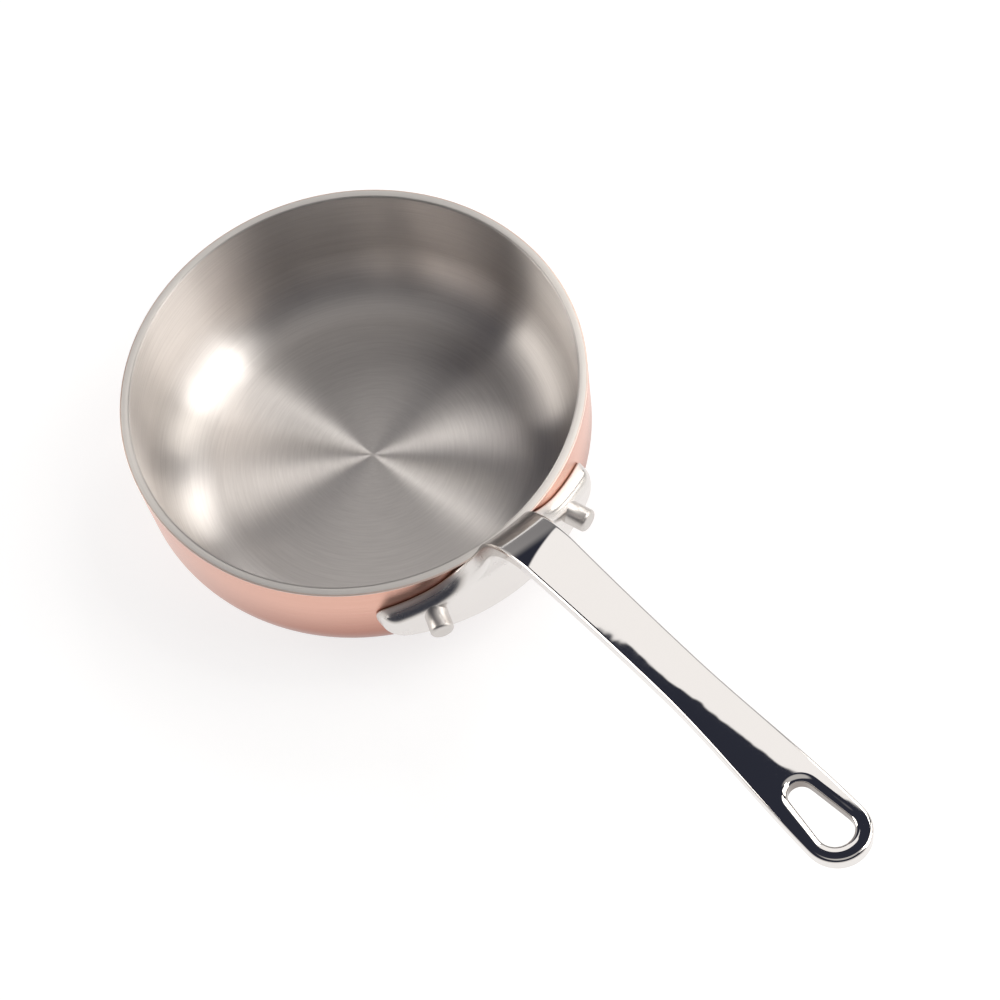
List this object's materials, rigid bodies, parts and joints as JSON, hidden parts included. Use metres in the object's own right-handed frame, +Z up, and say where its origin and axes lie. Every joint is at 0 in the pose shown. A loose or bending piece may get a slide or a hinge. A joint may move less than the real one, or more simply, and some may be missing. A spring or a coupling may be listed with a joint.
{
  "type": "saucepan",
  "caption": "Small low saucepan in bonded copper, aluminium and steel, with a riveted polished cast handle that rises from the rim and ends in a hanging eye.",
  "frame": {"origin": "centre of the pan's flat underside, where it stands on a hob or table", "axes": "+Z up along the pan's centre line, +X level from the pan's centre towards the handle, +Y to the right for a person who holds the handle and faces the pan"},
  "size_m": [0.251, 0.12, 0.0884],
  "materials": {
    "copper": "satin",
    "core_aluminium": "satin",
    "liner_steel": "brushed in rings",
    "polished_steel": "polished",
    "rivet_steel": "satin"
  },
  "bodies": {
    "root": {"copper_shell": "copper", "aluminium_core": "core_aluminium", "steel_liner": "liner_steel", "handle": "polished_steel", "left_rivet": "rivet_steel", "right_rivet": "rivet_steel"}
  },
  "joints": []
}
